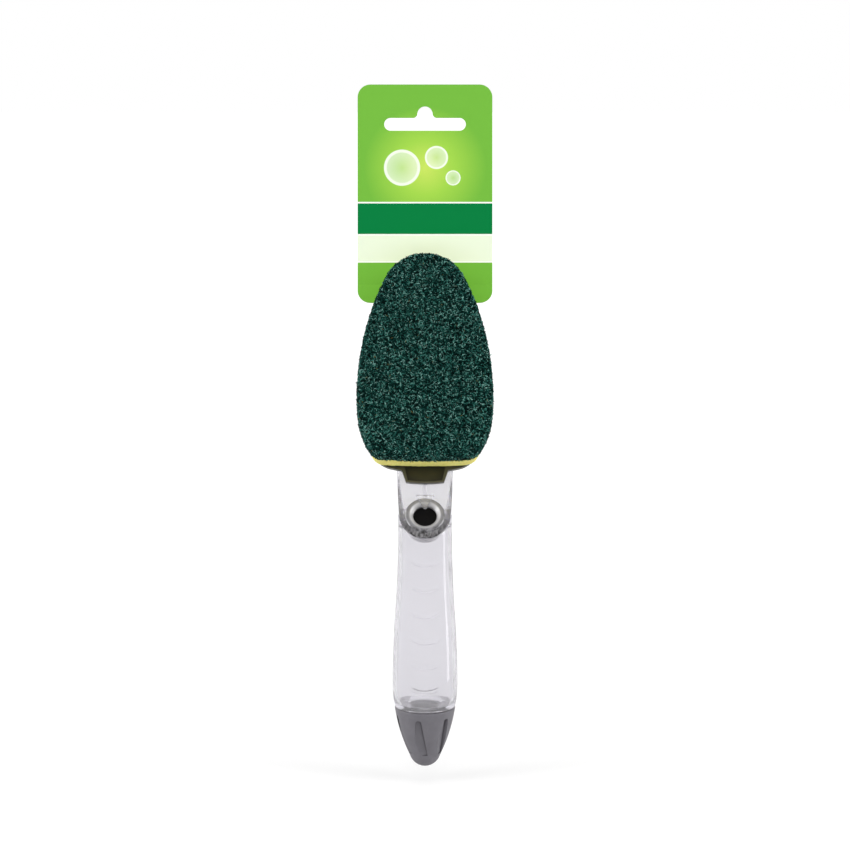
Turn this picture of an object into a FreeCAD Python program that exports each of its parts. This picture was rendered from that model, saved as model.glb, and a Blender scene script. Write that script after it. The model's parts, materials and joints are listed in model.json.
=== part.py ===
import FreeCAD, Part
import math
import os
from types import SimpleNamespace

import Sketcher

# A soap-dispensing dish wand: a clear hollow handle, a slide-on scrubbing head,
# a press-to-dispense valve in the sloping neck, a screw cap and a hang card.
# Frame: Z runs up the handle's axis, the pad looks towards -Y, and the origin is
# on the axis at the middle of the grip. Lengths are millimetres, angles degrees.

doc = FreeCAD.newDocument("dish_wand")
sheet = doc.addObject("Spreadsheet::Sheet", "Sizes")

DIMENSIONS = {
    # handle barrel, foot to facet
    "barrel_length": 67.5, "foot_radius": 11.75, "belly_radius": 12.6, "belly_height": 7.5,
    "waist_radius": 10.35, "barrel_wall": 1.6, "reservoir_dome": 2.0,
    "shoulder_rise": 7.5, "shoulder_step": 0.28,
    # finger ribs on the barrel's front
    "rib_count": 6, "rib_pitch": 9.5, "rib_drop": 9.9, "rib_width": 10.2, "rib_thickness": 1.0,
    "rib_height": 0.3, "rib_reach": 6.0,
    # filling mouth and its thread
    "mouth_radius": 6.2, "mouth_bore": 5.25, "mouth_length": 6.0, "thread_pitch": 3.0,
    "thread_depth": 0.65, "thread_root": 1.4, "thread_crest": 0.6, "thread_rise": 3.6,
    "thread_start": 1.2, "thread_clearance": 0.25, "thread_bite": 0.4, "thread_lead": 25.0,
    # sloping facet, neck and tongue
    "facet_angle": 45.0, "facet_length": 19.2, "head_lean": 22.5, "tongue_root": 11.0,
    "neck_half_width": 10.95, "tongue_half_width": 8.6, "tongue_length": 45.0, "tongue_nose": 6.0,
    "tongue_thickness": 4.6, "channel_radius": 0.9, "channel_wall": 1.4, "channel_foot": 9.0,
    "outlet_height": 26.0, "outlet_radius": 1.7, "cut_overrun": 1.0, "cut_reach": 40.0,
    # moulded pointer above the button
    "pointer_half_width": 3.45, "pointer_tip_width": 0.9, "pointer_tip_height": 2.8,
    "pointer_thickness": 1.6, "pointer_lift": 0.6, "pointer_clearance": 0.15, "pointer_root": 0.6,
    # valve chamber in the facet
    "valve_raise": 1.5, "chamber_radius": 5.75, "chamber_depth": 6.8, "boss_wall": 1.15,
    "seat_thickness": 1.2, "seat_radius": 2.0,
    "bezel_radius": 7.6, "bezel_height": 1.2, "bezel_edge": 0.4, "bezel_collar": 1.5,
    "bezel_sleeve": 2.6, "sleeve_wall": 0.55, "bezel_bore": 4.55, "bezel_funnel": 1.35,
    "funnel_depth": 1.0, "collar_clearance": 0.05, "skirt_radius": 8.85, "skirt_drop": 2.2,
    "skirt_shift": 1.25, "skirt_thickness": 0.6,
    "button_clearance": 0.1, "button_sink": 0.3, "button_edge": 0.35, "button_crown": 0.2,
    "flange_lip": 0.55, "flange_thickness": 0.8, "flange_clearance": 0.1,
    "groove_top": 1.0, "groove_width": 0.8, "groove_depth": 0.5, "seal_clearance": 0.01,
    "stem_radius": 1.08, "stem_clearance": 0.03, "socket_depth": 1.8, "stem_head_radius": 1.8,
    "stem_head_height": 0.6, "poppet_radius": 3.2, "poppet_thickness": 1.2, "poppet_edge": 0.3,
    "spring_radius": 3.3, "spring_wire": 0.45, "spring_turns": 2.75, "spring_clearance": 0.05,
    # screw cap
    "cap_length": 24.3, "cap_gap": 0.2, "cap_bore": 8.4, "cap_rim_round": 0.5,
    "flute_count": 6, "flute_top": 3.0, "flute_length": 16.0,
    "flute_half_width": 2.7, "flute_crown": 1.1, "flute_inset": 1.25, "flute_slope": 14.0,
    "flute_twist": 22.0, "flute_turn": -15.0,
    "core_fit": 0.05, "core_floor": 1.0, "core_top_gap": 0.3, "gasket_thickness": 1.2,
    "gasket_clearance": 0.15,
    # scrubbing head
    "head_gap": 0.2, "base_thickness": 3.0, "base_half_width": 21.0, "base_length": 76.1,
    "base_bottom": 9.8, "base_recess": 1.0, "recess_half_width": 17.5, "recess_bottom": 15.0,
    "recess_top": 74.0, "recess_bulge": 1.7, "soap_hole_radius": 2.5,
    "tab_half_width": 9.2, "tab_tip_half_width": 7.3, "tab_tip": 5.9, "tab_bow": 0.5,
    "tab_overlap": 1.5, "tab_rim": 0.65, "tab_sink": 1.2, "hollow_cover": 0.6,
    "rail_bottom": 12.4, "rail_wall": 1.7, "rail_lip": 2.2, "rail_lip_thickness": 1.4,
    "slide_clearance": 0.25, "stop_thickness": 1.6,
    "pad_half_width": 25.6, "pad_length": 79.6, "pad_bottom": 11.1, "pad_thickness": 8.0, "pad_round": 1.8,
    "sponge_rise": 0.6, "sponge_inset": 0.8, "sponge_thickness": 14.5,
    # hang card
    "card_width": 52.8, "card_panel": 78.6, "card_flap": 7.2, "card_thickness": 0.5,
    "card_lean": 10.0, "card_crease": 85.1, "card_corner": 5.0,
    "slot_width": 32.0, "slot_height": 5.0, "slot_drop": 15.6, "hump_radius": 3.0,
    "hump_height": 4.5, "hump_flare": 1.7,
    "dot_radius": 2.6, "dot_thickness": 0.3, "dot_spacing": 16.0, "dot_drop": 3.8,
}

FULL_TURN = 360
RIGHT_ANGLE = 90
# How closely a face or an edge is matched when a fillet looks for it
TOLERANCE = 1e-6

# Joints between the pad outline's arcs, right half, from the bottom up: shares of its half width
# and of its length. The last one's height is only a first guess, because the arcs run smoothly on.
EGG_SHARES = ((0.645, 0.0063), (0.801, 0.0354), (0.980, 0.206), (0.922, 0.546), (0.570, 0.890))
# The base plate's outline, the same way, in shares of its own half width and length.
BASE_SHARES = ((0.638, 0.020), (0.971, 0.129), (0.900, 0.620), (0.480, 0.928))
RECESS_SHOULDER_SHARE = 0.72
# Outline of the cap's side below its rim, in shares of the foot's radius and the cap's length.
CAP_SIDE_SHARES = (0.766, 0.500, 0.497, 0.178)


def fill_sheet():
    for row, (name, value) in enumerate(DIMENSIONS.items(), start=1):
        sheet.set("A%d" % row, name)
        sheet.set("B%d" % row, str(value))
        sheet.setAlias("B%d" % row, name)
    doc.recompute()


class Size:
    """A number together with the spreadsheet expression that it comes from."""

    def __init__(self, value, text):
        self.value = value
        self.text = text

    def __add__(self, other):
        other = as_size(other)
        return Size(self.value + other.value, "(%s + %s)" % (self.text, other.text))

    def __sub__(self, other):
        other = as_size(other)
        return Size(self.value - other.value, "(%s - %s)" % (self.text, other.text))

    def __mul__(self, other):
        other = as_size(other)
        return Size(self.value * other.value, "(%s * %s)" % (self.text, other.text))

    def __truediv__(self, other):
        other = as_size(other)
        return Size(self.value / other.value, "(%s / %s)" % (self.text, other.text))

    def __neg__(self):
        return Size(-self.value, "(0 - %s)" % self.text)

    def __rmul__(self, other):
        return as_size(other) * self

    def __rsub__(self, other):
        return as_size(other) - self


def as_size(item):
    return item if isinstance(item, Size) else Size(float(item), repr(item))


def sine(angle):
    return Size(math.sin(math.radians(angle.value)), "sin(%s)" % angle.text)


def cosine(angle):
    return Size(math.cos(math.radians(angle.value)), "cos(%s)" % angle.text)


def root(area):
    return Size(math.sqrt(area.value), "sqrt(%s)" % area.text)


def bind(item, prop, size):
    item.setExpression(prop, as_size(size).text)


def place(item, prop, base, angle):
    """Turn an item about X and move it; base is its (y, z) in the part's frame."""
    spot = FreeCAD.Vector(0, as_size(base[0]).value, as_size(base[1]).value)
    turn = FreeCAD.Rotation(FreeCAD.Vector(1, 0, 0), as_size(angle).value)
    setattr(item, prop, FreeCAD.Placement(spot, turn))
    bind(item, prop + ".Base.y", base[0])
    bind(item, prop + ".Base.z", base[1])
    bind(item, prop + ".Rotation.Angle", angle)


# Sketch helpers

def new_body(name):
    body = doc.addObject("PartDesign::Body", name)
    body.Label = name
    return body


def new_sketch(body, name, role, base=None, angle=0.0):
    """A sketch on one of the body's own planes, turned about X and moved where base is given."""
    plane = [item for item in body.Origin.OriginFeatures if item.Role == role][0]
    sketch = body.newObject("Sketcher::SketchObject", name)
    sketch.AttachmentSupport = [(plane, "")]
    sketch.MapMode = "FlatFace"
    if base is not None:
        place(sketch, "AttachmentOffset", base, angle)
    return sketch


def vector(point):
    return FreeCAD.Vector(as_size(point[0]).value, as_size(point[1]).value, 0)


def fix_point(sketch, shape, end, point):
    """Tie one end of a sketch's line or arc to its coordinates; None leaves one free."""
    for kind, axis, coordinate in (("DistanceX", -2, point[0]), ("DistanceY", -1, point[1])):
        if coordinate is None:
            continue
        if not isinstance(coordinate, Size) and coordinate == 0:
            sketch.addConstraint(Sketcher.Constraint("PointOnObject", shape, end, axis))
            continue
        size = as_size(coordinate)
        tie = sketch.addConstraint(Sketcher.Constraint(kind, -1, 1, shape, end, size.value))
        sketch.setExpression("Constraints[%d]" % tie, size.text)


def draw_outline(sketch, steps):
    """Closed outline. A step is a corner (x, y), or (x, y, x, y): a point on an arc and its end."""
    ends = []
    for index, step in enumerate(steps):
        start = vector(steps[index - 1][-2:])
        end = vector(step[-2:])
        if len(step) == 2:
            shape = sketch.addGeometry(Part.LineSegment(start, end), False)
        else:
            shape = sketch.addGeometry(Part.Arc(start, vector(step[:2]), end), False)
        first = sketch.getPoint(shape, 1)
        first_is_start = (first - start).Length < (first - end).Length
        ends.append((shape, 1, 2) if first_is_start else (shape, 2, 1))
    for index, step in enumerate(steps):
        shape, _, last = ends[index]
        follower, first, _ = ends[(index + 1) % len(steps)]
        sketch.addConstraint(Sketcher.Constraint("Coincident", shape, last, follower, first))
        fix_point(sketch, shape, last, step[-2:])
        if len(step) == 4:
            via = sketch.addGeometry(Part.Point(vector(step[:2])), True)
            sketch.addConstraint(Sketcher.Constraint("PointOnObject", via, 1, shape))
            fix_point(sketch, via, 1, step[:2])


def draw_circle(sketch, centre, radius):
    circle = Part.Circle(vector(centre), FreeCAD.Vector(0, 0, 1), radius.value)
    shape = sketch.addGeometry(circle, False)
    tie = sketch.addConstraint(Sketcher.Constraint("Radius", shape, radius.value))
    sketch.setExpression("Constraints[%d]" % tie, radius.text)
    fix_point(sketch, shape, 3, centre)


def tangent_via(start, way, end):
    """The middle of the arc that leaves start along way and reaches end, and its way there."""
    chord = end - start
    ahead = chord / chord.Length
    left = FreeCAD.Vector(-ahead.y, ahead.x, 0)
    lean = way.dot(left) / (1 + way.dot(ahead))
    via = (start + end) / 2 + left * (lean * chord.Length / 2)
    return via, ahead * (2 * way.dot(ahead)) - way


def draw_egg(sketch, shares, half_width, bottom, length):
    """An egg of arcs that run smoothly into each other, symmetric about x = 0."""
    right = [(half_width * x_share, bottom + length * y_share) for x_share, y_share in shares]
    left = [(-x, y) for x, y in reversed(right)]
    joints = right + left
    low = FreeCAD.Vector(0, bottom.value, 0)
    high = FreeCAD.Vector(0, (bottom + length).value, 0)
    points = [vector(joint) for joint in joints]
    arcs = [sketch.addGeometry(Part.Arc(points[-1], low, points[0]), False)]
    rise = points[0].y - low.y
    way = FreeCAD.Vector(points[0].x ** 2 - rise ** 2, 2 * points[0].x * rise, 0).normalize()
    vias = []
    for index in range(len(right) - 1):
        via, way = tangent_via(points[index], way, points[index + 1])
        vias.append(via)
        arcs.append(sketch.addGeometry(Part.Arc(points[index], via, points[index + 1]), False))
    arcs.append(sketch.addGeometry(Part.Arc(points[len(right) - 1], high, points[len(right)]), False))
    for index, via in enumerate(reversed(vias), start=len(right)):
        flipped = FreeCAD.Vector(-via.x, via.y, 0)
        arcs.append(sketch.addGeometry(Part.Arc(points[index], flipped, points[index + 1]), False))
    for index, joint in enumerate(joints):
        follower = arcs[(index + 1) % len(arcs)]
        sketch.addConstraint(Sketcher.Constraint("Tangent", arcs[index], 2, follower, 1))
        is_top = index in (len(right) - 1, len(right))
        fix_point(sketch, arcs[index], 2, (joint[0], None if is_top else joint[1]))
    for arc, spot, height in ((arcs[0], low, bottom), (arcs[len(right)], high, bottom + length)):
        apex = sketch.addGeometry(Part.Point(spot), True)
        sketch.addConstraint(Sketcher.Constraint("PointOnObject", apex, 1, arc))
        fix_point(sketch, apex, 1, (0, height))


# Feature helpers

def pad(body, name, sketch, length, back=False):
    feature = body.newObject("PartDesign::Pad", name)
    feature.Profile = sketch
    bind(feature, "Length", length)
    feature.Reversed = back
    return feature


def revolve(body, name, sketch):
    feature = body.newObject("PartDesign::Revolution", name)
    feature.Profile = sketch
    feature.ReferenceAxis = (sketch, ["V_Axis"])
    feature.Angle = FULL_TURN
    return feature


def pocket_through(body, name, sketch):
    """Cut a sketch right through the body, both ways."""
    feature = body.newObject("PartDesign::Pocket", name)
    feature.Profile = sketch
    feature.Type = "ThroughAll"
    feature.Midplane = True
    return feature


def pocket(body, name, sketch, depth, back=False):
    feature = body.newObject("PartDesign::Pocket", name)
    feature.Profile = sketch
    bind(feature, "Length", depth)
    feature.Reversed = back
    return feature


def revolved_body(name, steps, base=None, angle=0.0):
    """A body that is one turned outline of (radius, height), set on the handle's or the valve's axis."""
    body = new_body(name)
    sketch = new_sketch(body, name + "_outline", "XZ_Plane")
    draw_outline(sketch, steps)
    revolve(body, name + "_turn", sketch)
    if base is not None:
        place(body, "Placement", base, angle)
    return body


def cylinder(name, radius, length, base, angle):
    """A round bar along its own Z, which is turned about X by angle."""
    item = doc.addObject("Part::Cylinder", name)
    bind(item, "Radius", radius)
    bind(item, "Height", length)
    place(item, "Placement", base, angle)
    return item


def boolean(kind, name, base, tool):
    item = doc.addObject("Part::" + kind, name)
    item.Base = base
    item.Tool = tool
    item.Label = name
    return item


def fuse(name, shapes):
    item = doc.addObject("Part::MultiFuse", name)
    item.Shapes = shapes
    item.Label = name
    return item


fill_sheet()
S = SimpleNamespace(**{name: Size(float(value), "Sizes." + name) for name, value in DIMENSIONS.items()})

# Places along the handle
foot_z = -S.barrel_length / 2
facet_foot_z = S.barrel_length / 2
belly_z = foot_z + S.belly_height
shoulder_z = facet_foot_z + S.shoulder_rise
mouth_z = foot_z - S.mouth_length
neck_radius = S.waist_radius - S.shoulder_step
rim_z = foot_z - S.cap_gap
gasket_z = mouth_z - S.gasket_thickness
core_z = gasket_z - S.core_floor

# The facet: up its slope, and out of its face
slope = (cosine(S.facet_angle), sine(S.facet_angle))
valve_climb = S.facet_length / 2 + S.valve_raise
valve_base = (-S.waist_radius + slope[0] * valve_climb, facet_foot_z + slope[1] * valve_climb)
pointer_top = S.facet_length - valve_climb + S.pointer_root
facet_top = (-S.waist_radius + slope[0] * S.facet_length, facet_foot_z + slope[1] * S.facet_length)

# The head: up its length, and out of its pad
along = (sine(S.head_lean), cosine(S.head_lean))
outward = (-cosine(S.head_lean), sine(S.head_lean))
head_turn = RIGHT_ANGLE - S.head_lean


def head_point(height, proud):
    """A point on the head's middle plane: its height up the tongue and its distance off its front."""
    return (facet_top[0] + along[0] * height + outward[0] * proud,
            facet_top[1] + along[1] * height + outward[1] * proud)


def valve_point(depth):
    """A point on the valve's axis, this deep below the facet."""
    return (valve_base[0] + slope[1] * depth, valve_base[1] - slope[0] * depth)


# Handle shell

def barrel_steps(grow):
    """The barrel's side from its waist down to its foot, grown by a thickness."""
    mid_radius = (S.belly_radius + S.waist_radius) / 2 + grow
    mid_z = (belly_z + facet_foot_z) / 2
    quarter = (S.belly_radius - S.waist_radius) / 8
    quarter_z = (facet_foot_z - belly_z) / 4
    waist = S.waist_radius + grow
    belly = S.belly_radius + grow
    foot = S.foot_radius + grow
    bulge = foot + (belly - foot) * 3 / 4
    return [
        (waist, facet_foot_z),
        (waist + quarter, facet_foot_z - quarter_z, mid_radius, mid_z),
        (belly - quarter, belly_z + quarter_z, belly, belly_z),
        (bulge, foot_z + S.belly_height / 2, foot, foot_z),
    ]


def build_barrel(body):
    sketch = new_sketch(body, "barrel_outline", "XZ_Plane")
    steps = [(0, mouth_z), (0, shoulder_z), (S.waist_radius, shoulder_z)]
    steps += barrel_steps(0)
    steps += [(S.mouth_radius, foot_z), (S.mouth_radius, mouth_z)]
    draw_outline(sketch, steps)
    revolve(body, "barrel_turn", sketch)


def build_neck(body):
    """Round at the shoulder, flattening and leaning back into the tongue's root."""
    corner = neck_radius * cosine(as_size(RIGHT_ANGLE) / 2)
    round_end = new_sketch(body, "neck_round", "XY_Plane", (0, shoulder_z), 0)
    draw_outline(round_end, [
        (neck_radius, 0, corner, corner), (0, neck_radius, -corner, corner),
        (-neck_radius, 0, -corner, -corner), (0, -neck_radius, corner, -corner)])
    flat_base = head_point(S.tongue_root, -S.tongue_thickness / 2)
    flat_end = new_sketch(body, "neck_flat", "XY_Plane", flat_base, -S.head_lean)
    half = S.tongue_thickness / 2
    side = S.neck_half_width - half
    crown = half + S.barrel_wall / 2
    draw_outline(flat_end, [
        (S.neck_half_width, 0, side, half), (0, crown, -side, half),
        (-S.neck_half_width, 0, -side, -half), (0, -crown, side, -half)])
    loft = body.newObject("PartDesign::AdditiveLoft", "neck_loft")
    loft.Profile = round_end
    loft.Sections = [flat_end]


def build_front_cut(body):
    """The sloping facet and the flat front of the neck, cut across in one go."""
    sketch = new_sketch(body, "front_cut", "YZ_Plane")
    foot = (-S.waist_radius - slope[0] * S.cut_overrun, facet_foot_z - slope[1] * S.cut_overrun)
    top = head_point(S.tongue_length, 0)
    draw_outline(sketch, [foot, facet_top, top, (-S.cut_reach, top[1]), (-S.cut_reach, foot[1])])
    pocket_through(body, "front_pocket", sketch)


def build_tongue(body):
    sketch = new_sketch(body, "tongue_outline", "XY_Plane", facet_top, head_turn)
    shoulder = S.tongue_length - S.tongue_nose
    root = S.tongue_root - S.barrel_wall
    nose_half = S.tongue_half_width - S.tongue_nose / 2
    draw_outline(sketch, [
        (S.tongue_half_width, root), (S.tongue_half_width, shoulder), (nose_half, S.tongue_length),
        (-nose_half, S.tongue_length), (-S.tongue_half_width, shoulder), (-S.tongue_half_width, root)])
    pad(body, "tongue_pad", sketch, S.tongue_thickness, back=True)


def thread_steps(radius, height, depth, root, crest, bite):
    """A thread's section: its root on the cylinder, sunk by a bite, and its crest outside."""
    return [
        (radius - bite, height - root / 2), (radius, height - root / 2),
        (radius + depth, height - crest / 2), (radius + depth, height + crest / 2),
        (radius, height + root / 2), (radius - bite, height + root / 2)]


def build_thread(body, name, kind, steps, rise):
    sketch = new_sketch(body, name + "_section", "XZ_Plane")
    draw_outline(sketch, steps)
    helix = body.newObject("PartDesign::" + kind, name)
    helix.Profile = sketch
    helix.ReferenceAxis = (sketch, ["V_Axis"])
    helix.Mode = "pitch-height-angle"
    bind(helix, "Pitch", S.thread_pitch)
    bind(helix, "Height", rise)
    return helix


def build_pointer():
    """The triangle that points down the facet at the button: a foot above the ring, and a tongue over it."""
    body = new_body("pointer")
    half = S.pointer_half_width
    top = pointer_top
    tip = S.pointer_tip_width / 2
    heel = S.bezel_radius + S.pointer_clearance
    heel_half = tip + (half - tip) * (heel - S.pointer_tip_height) / (top - S.pointer_tip_height)
    foot = new_sketch(body, "pointer_foot", "XY_Plane")
    draw_outline(foot, [(half, top), (-half, top), (-heel_half, heel), (heel_half, heel)])
    pad(body, "pointer_foot_pad", foot, S.pointer_thickness)
    tongue = new_sketch(body, "pointer_tongue", "XY_Plane", (0, S.pointer_lift), 0)
    draw_outline(tongue, [
        (half, top), (-half, top), (-tip, S.pointer_tip_height), (tip, S.pointer_tip_height)])
    pad(body, "pointer_tongue_pad", tongue, S.pointer_thickness - S.pointer_lift)
    place(body, "Placement", valve_base, S.facet_angle)
    return body


def build_ribs():
    """Smile-shaped ribs: slabs that lie parallel to the facet, kept where they stand off the barrel."""
    belt_steps = barrel_steps(S.rib_height)
    belt = revolved_body("rib_belt", [(0, foot_z), (0, facet_foot_z)] + belt_steps)
    slabs = []
    for index in range(int(S.rib_count.value)):
        slab = doc.addObject("Part::Box", "rib_slab_%d" % index)
        bind(slab, "Length", S.rib_width)
        bind(slab, "Width", S.rib_reach)
        bind(slab, "Height", S.rib_thickness)
        front_z = facet_foot_z - S.rib_drop - S.rib_pitch * index
        front = (-S.waist_radius - S.rib_reach * slope[0] / 2, front_z - S.rib_reach * slope[1] / 2)
        place(slab, "Placement", front, S.facet_angle)
        bind(slab, "Placement.Base.x", -S.rib_width / 2)
        slabs.append(slab)
    return boolean("Common", "ribs", belt, fuse("rib_slabs", slabs))


def build_reservoir():
    """The hollow inside the handle, with its top parallel to the facet."""
    wall = S.barrel_wall
    top_z = shoulder_z - S.reservoir_dome
    side = barrel_steps(-wall)
    floor_z = foot_z + wall
    bulge, foot = side[-1][:2], side[-1][-2:]
    side[-1] = (bulge[0], bulge[1], foot[0], floor_z)
    waist = S.waist_radius - wall
    steps = [(0, mouth_z - S.cut_overrun), (0, top_z), (waist - S.reservoir_dome, top_z),
             (waist, top_z - S.reservoir_dome)]
    steps += side
    steps += [(S.mouth_bore, foot_z), (S.mouth_bore, mouth_z - S.cut_overrun)]
    body = revolved_body("reservoir", steps)
    sketch = new_sketch(body, "reservoir_top", "YZ_Plane")
    sink = valve_point(wall)
    low = (sink[0] - slope[0] * S.facet_length, sink[1] - slope[1] * S.facet_length)
    high = (sink[0] + slope[0] * S.facet_length, sink[1] + slope[1] * S.facet_length)
    draw_outline(sketch, [low, high, (low[0], high[1])])
    pocket_through(body, "reservoir_cut", sketch)
    return body


def build_handle_shell():
    body = new_body("handle_blank")
    build_barrel(body)
    build_neck(body)
    build_front_cut(body)
    build_tongue(body)
    build_thread(body, "mouth_thread", "AdditiveHelix",
                 thread_steps(S.mouth_radius, mouth_z + S.thread_start, S.thread_depth, S.thread_root,
                              S.thread_crest, S.thread_bite), S.thread_rise)
    ribbed = fuse("handle_ribbed", [body, build_ribs()])
    hollow = boolean("Cut", "handle_hollow", ribbed, build_reservoir())
    boss_depth = S.chamber_depth + S.seat_thickness
    boss = cylinder("valve_boss", S.chamber_radius + S.boss_wall, boss_depth, valve_point(boss_depth),
                    S.facet_angle)
    channel_line = -S.tongue_thickness / 2
    tube = cylinder("channel_tube", S.channel_radius + S.channel_wall, S.channel_foot,
                    head_point(-S.channel_foot, channel_line), -S.head_lean)
    solid = fuse("handle_solid", [hollow, boss, tube, build_pointer()])
    chamber = cylinder("chamber_bore", S.chamber_radius, S.chamber_depth, valve_point(S.chamber_depth),
                       S.facet_angle)
    seat = cylinder("seat_bore", S.seat_radius, boss_depth, valve_point(boss_depth), S.facet_angle)
    channel = cylinder("channel_bore", S.channel_radius, S.channel_foot + S.outlet_height,
                       head_point(-S.channel_foot, channel_line), -S.head_lean)
    outlet = cylinder("outlet_bore", S.outlet_radius, S.tongue_thickness / 2,
                      head_point(S.outlet_height, channel_line), head_turn)
    bores = fuse("handle_bores", [chamber, seat, channel, outlet])
    return boolean("Cut", "handle_shell", solid, bores)


# Valve in the facet

def build_bezel():
    height = S.bezel_height
    collar = S.chamber_radius - S.collar_clearance
    sleeve = S.bezel_bore + S.sleeve_wall
    body = revolved_body("bezel_ring", [
        (S.bezel_bore, -S.bezel_sleeve), (sleeve, -S.bezel_sleeve), (sleeve, -S.bezel_collar),
        (collar, -S.bezel_collar), (collar, 0), (S.bezel_radius, 0),
        (S.bezel_radius, height - S.bezel_edge), (S.bezel_radius - S.bezel_edge, height),
        (S.bezel_bore + S.bezel_funnel, height), (S.bezel_bore, height - S.funnel_depth)],
        valve_base, S.facet_angle)
    gap = S.pointer_clearance
    sketch = new_sketch(body, "pointer_notch", "XY_Plane", (0, S.pointer_lift - gap), 0)
    tip = S.pointer_tip_width / 2 + gap
    draw_outline(sketch, [
        (S.pointer_half_width + gap, pointer_top), (-S.pointer_half_width - gap, pointer_top),
        (-tip, S.pointer_tip_height - gap), (tip, S.pointer_tip_height - gap)])
    pocket(body, "pointer_pocket", sketch, S.bezel_height + S.cut_overrun, back=True)
    build_skirt(body)
    return body


def build_skirt(body):
    """The thin skirt on the facet below the ring: a crescent whose outer arc is set further down."""
    sketch = new_sketch(body, "skirt_outline", "XY_Plane")
    inner = S.chamber_radius + S.boss_wall / 2
    drop = S.skirt_drop
    outer_drop = drop - S.skirt_shift
    outer_x = root(S.skirt_radius * S.skirt_radius - outer_drop * outer_drop)
    inner_x = root(inner * inner - drop * drop)
    draw_outline(sketch, [
        (-outer_x, -drop), (0, -S.skirt_shift - S.skirt_radius, outer_x, -drop),
        (inner_x, -drop), (0, -inner, -inner_x, -drop)])
    pad(body, "skirt_pad", sketch, S.skirt_thickness)


button_radius = S.bezel_bore - S.button_clearance
flange_top = S.bezel_sleeve + S.flange_clearance
flange_bottom = flange_top + S.flange_thickness
groove_radius = button_radius - S.groove_depth
seat_bottom = S.chamber_depth + S.seat_thickness


def build_button():
    socket = S.stem_radius + S.stem_clearance
    flange = button_radius + S.flange_lip
    top = S.button_sink
    groove_low = S.groove_top + S.groove_width
    return revolved_body("soap_button", [
        (socket, -flange_bottom), (flange, -flange_bottom), (flange, -flange_top),
        (button_radius, -flange_top), (button_radius, -groove_low), (groove_radius, -groove_low),
        (groove_radius, -S.groove_top), (button_radius, -S.groove_top),
        (button_radius, -top - S.button_edge), (button_radius - S.button_edge, -top - S.button_crown),
        (0, -top), (0, -flange_bottom + S.socket_depth), (socket, -flange_bottom + S.socket_depth)],
        valve_base, S.facet_angle)


def build_button_seal():
    ring = doc.addObject("Part::Torus", "button_seal")
    ring.Label = "button_seal"
    section = (S.bezel_bore - groove_radius) / 2 - S.seal_clearance
    bind(ring, "Radius1", (S.bezel_bore + groove_radius) / 2)
    bind(ring, "Radius2", section)
    place(ring, "Placement", valve_point(S.groove_top + S.groove_width / 2), S.facet_angle)
    return ring


def build_stem():
    top = -flange_bottom + S.socket_depth - S.stem_clearance
    head = -seat_bottom - S.poppet_thickness
    return revolved_body("valve_stem", [
        (0, head - S.stem_head_height), (S.stem_head_radius, head - S.stem_head_height),
        (S.stem_head_radius, head), (S.stem_radius, head), (S.stem_radius, top), (0, top)],
        valve_base, S.facet_angle)


def build_poppet():
    bore = S.stem_radius + S.stem_clearance
    low = -seat_bottom - S.poppet_thickness
    return revolved_body("poppet_seal", [
        (bore, low), (S.poppet_radius - S.poppet_edge, low), (S.poppet_radius, low + S.poppet_edge),
        (S.poppet_radius, -seat_bottom), (bore, -seat_bottom)],
        valve_base, S.facet_angle)


def biarc(start, start_way, end, end_way):
    """Two arcs from start to end that leave and arrive along the given unit ways."""
    chord = end - start
    both = start_way + end_way
    square = 2 * (start_way.dot(end_way) - 1)
    linear = -2 * chord.dot(both)
    constant = chord.dot(chord)
    reach = (-linear - math.sqrt(linear * linear - 4 * square * constant)) / (2 * square)
    if reach < 0:
        reach = (-linear + math.sqrt(linear * linear - 4 * square * constant)) / (2 * square)
    first = start + start_way * reach
    second = end - end_way * reach
    joint = (first + second) / 2
    return [arc_edge(start, first, joint), arc_edge(joint, second, end)]


def arc_edge(start, corner, end):
    """The arc that leaves start towards the corner and reaches end from it."""
    middle = (start + end) / 2
    inward = middle - corner
    reach = (start - corner).Length
    radius = (start - middle).Length * reach / inward.Length
    crown = corner + inward.normalize() * (math.sqrt(radius * radius + reach * reach) - radius)
    return Part.Arc(start, crown, end).toShape()


def build_spring():
    """The helical spring between the button's flange and the chamber's end, as one bent wire."""
    wire_radius = S.spring_wire.value / 2
    high = -flange_bottom.value - wire_radius - S.spring_clearance.value
    low = -S.chamber_depth.value + wire_radius + S.spring_clearance.value
    turns = S.spring_turns.value
    radius = S.spring_radius.value
    pitch = (high - low) / turns
    climb = pitch / (2 * math.pi)

    def point(angle):
        return FreeCAD.Vector(radius * math.cos(angle), radius * math.sin(angle), low + climb * angle)

    def way(angle):
        return FreeCAD.Vector(-radius * math.sin(angle), radius * math.cos(angle), climb).normalize()

    quarters = int(round(turns * 4))
    edges = []
    for index in range(quarters):
        start = 2 * math.pi * turns * index / quarters
        end = 2 * math.pi * turns * (index + 1) / quarters
        edges += biarc(point(start), way(start), point(end), way(end))
    path = Part.Wire(edges)
    section = Part.Wire([Part.Circle(point(0), way(0), wire_radius).toShape()])
    spring = doc.addObject("Part::Feature", "return_spring")
    spring.Label = "return_spring"
    spring.Shape = path.makePipeShell([section], True, False)
    place(spring, "Placement", valve_base, S.facet_angle)
    print("return_spring: least gap between turns %.2f mm" % (pitch - 2 * wire_radius))
    return spring


# Screw cap

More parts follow.
